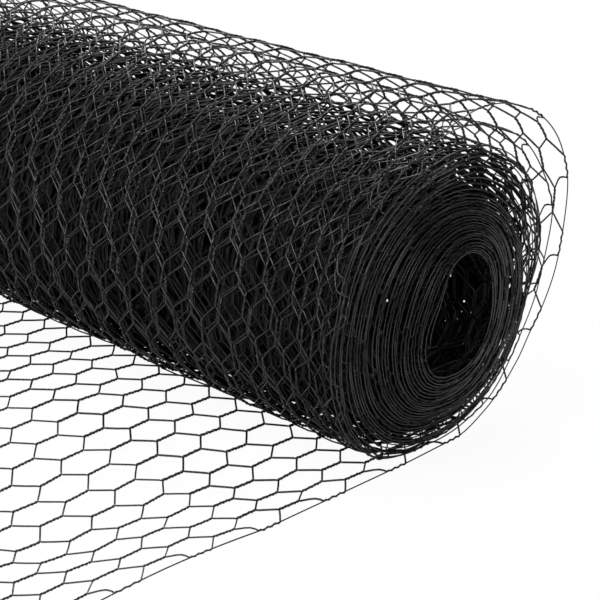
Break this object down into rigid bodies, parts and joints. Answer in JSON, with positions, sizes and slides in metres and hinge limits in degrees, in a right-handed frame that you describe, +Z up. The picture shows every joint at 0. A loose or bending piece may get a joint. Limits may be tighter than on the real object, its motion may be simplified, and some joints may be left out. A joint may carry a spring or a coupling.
{
  "type": "roll of chicken wire",
  "caption": "Roll of black coated hexagonal wire netting lying on its side, with its outer turns sprung loose and its end laid out flat on the floor.",
  "frame": {"origin": "middle of the footprint, on the floor", "axes": "+X along the axis of the roll, +Z up, and the laid out netting runs towards -Y"},
  "size_m": [0.9294, 0.4782, 0.2249],
  "materials": {
    "coated_wire": "black plastic coating on thin steel wire, smooth with a soft gloss"
  },
  "bodies": {
    "root": {"tight_turns": "coated_wire", "laid_out_netting_1": "coated_wire", "laid_out_netting_2": "coated_wire", "laid_out_netting_3": "coated_wire", "laid_out_netting_4": "coated_wire", "outer_turn_1": "coated_wire", "outer_turn_2": "coated_wire", "outer_turn_3": "coated_wire", "outer_turn_4": "coated_wire", "outer_turn_5": "coated_wire", "outer_turn_6": "coated_wire", "outer_turn_7": "coated_wire", "outer_turn_8": "coated_wire", "outer_turn_9": "coated_wire", "outer_turn_10": "coated_wire", "outer_turn_11": "coated_wire", "outer_turn_12": "coated_wire", "second_turn_1": "coated_wire", "second_turn_2": "coated_wire", "second_turn_3": "coated_wire", "second_turn_4": "coated_wire", "second_turn_5": "coated_wire", "second_turn_6": "coated_wire"}
  },
  "joints": []
}
